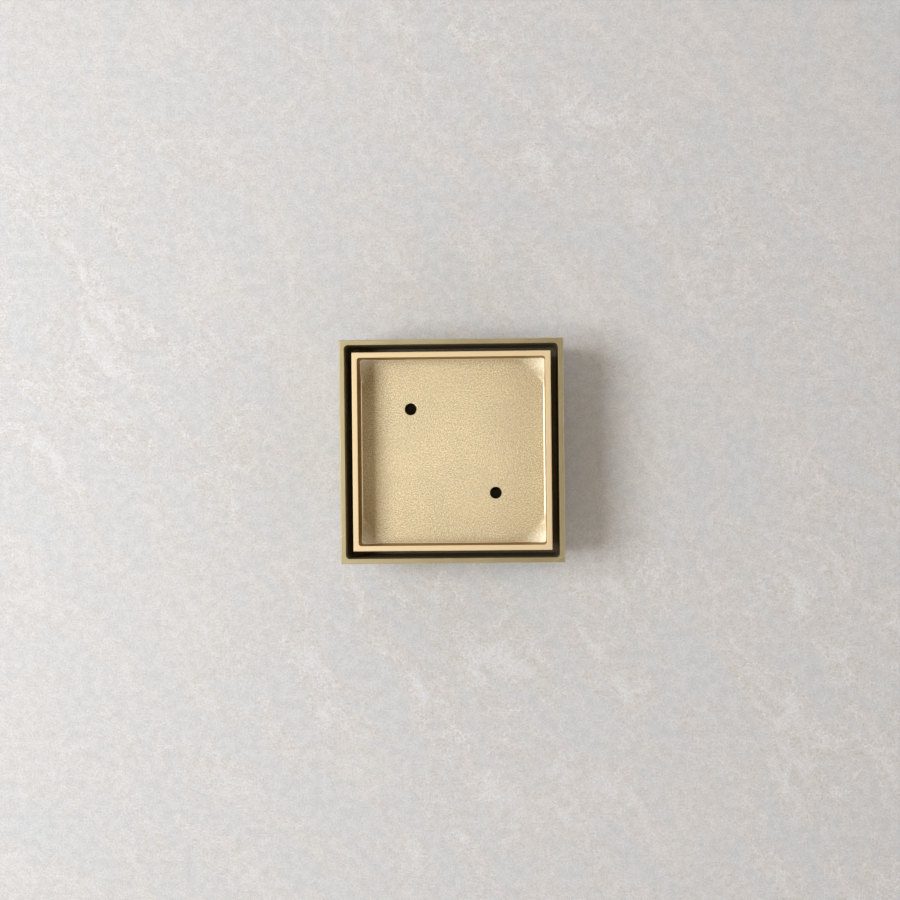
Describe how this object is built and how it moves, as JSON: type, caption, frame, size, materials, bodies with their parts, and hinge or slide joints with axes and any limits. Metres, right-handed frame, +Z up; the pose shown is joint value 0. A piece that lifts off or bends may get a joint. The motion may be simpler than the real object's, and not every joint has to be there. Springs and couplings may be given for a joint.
{
  "type": "tile-insert floor drain",
  "caption": "Square brass floor drain with a thin rim, a lift-out tile tray, a hair strainer and a spring-closed odour trap over a round outlet.",
  "frame": {"origin": "centre of the drain, at the lower end of the outlet tailpiece", "axes": "+Z up to the rim along the outlet's axis, +X and +Y along the frame's sides; the lifting holes lie on the -X +Y to +X -Y diagonal"},
  "size_m": [0.11, 0.11, 0.036],
  "materials": {
    "body_brass": "brushed, lacquered rim and walls, cast inside",
    "tray_brass": "brushed rim, fine sandblasted pocket",
    "turned_brass": "turned",
    "stainless": "pressed and deburred",
    "black_rubber": "matte",
    "silicone": "satin, milky",
    "grey_plastic": "moulded, fine spark texture"
  },
  "bodies": {
    "body": {"frame_body": "body_brass", "outlet_tailpiece": "turned_brass", "tailpiece_gasket": "black_rubber", "tailpiece_screws": "stainless", "pipe_seal_ring": "black_rubber"},
    "tray": {"tile_tray": "tray_brass", "tray_feet": "turned_brass", "foot_pads": "black_rubber"},
    "strainer": {"hair_strainer": "grey_plastic", "ring_bracket": "stainless", "bracket_rivets": "stainless"},
    "ring": {"pull_ring": "stainless"},
    "trap": {"trap_housing": "grey_plastic", "trap_seal_ring": "silicone", "return_spring": "stainless"},
    "valve": {"valve_stem": "stainless", "valve_disc": "grey_plastic", "valve_gasket": "silicone", "valve_nut": "stainless", "spring_cap": "grey_plastic", "stem_clip": "stainless"}
  },
  "joints": [
    {"name": "tray_lift", "type": "slide", "parent": "body", "child": "tray", "axis": [0, 0, 1], "range_m": [0, 0.12]},
    {"name": "strainer_lift", "type": "slide", "parent": "body", "child": "strainer", "axis": [0, 0, 1], "range_m": [0, 0.0721]},
    {"name": "trap_lift", "type": "slide", "parent": "body", "child": "trap", "axis": [0, 0, 1], "range_m": [0, 0.0421]},
    {"name": "ring_fold", "type": "hinge", "parent": "strainer", "child": "ring", "pos_m": [0, 0, 0.01685], "axis": [0, -1, 0], "range_deg": [0, 90]},
    {"name": "valve_open", "type": "slide", "parent": "trap", "child": "valve", "axis": [0, 0, -1], "range_m": [0, 0.0032], "stiffness_N_per_m": 120, "deforming": ["return_spring"]}
  ],
  "couplings": [
    {"joint": "strainer_lift", "follows": "tray_lift", "ratio": 0.6},
    {"joint": "trap_lift", "follows": "tray_lift", "ratio": 0.35},
    {"joint": "ring_fold", "follows": "tray_lift", "rad_per_m": 13.08}
  ]
}
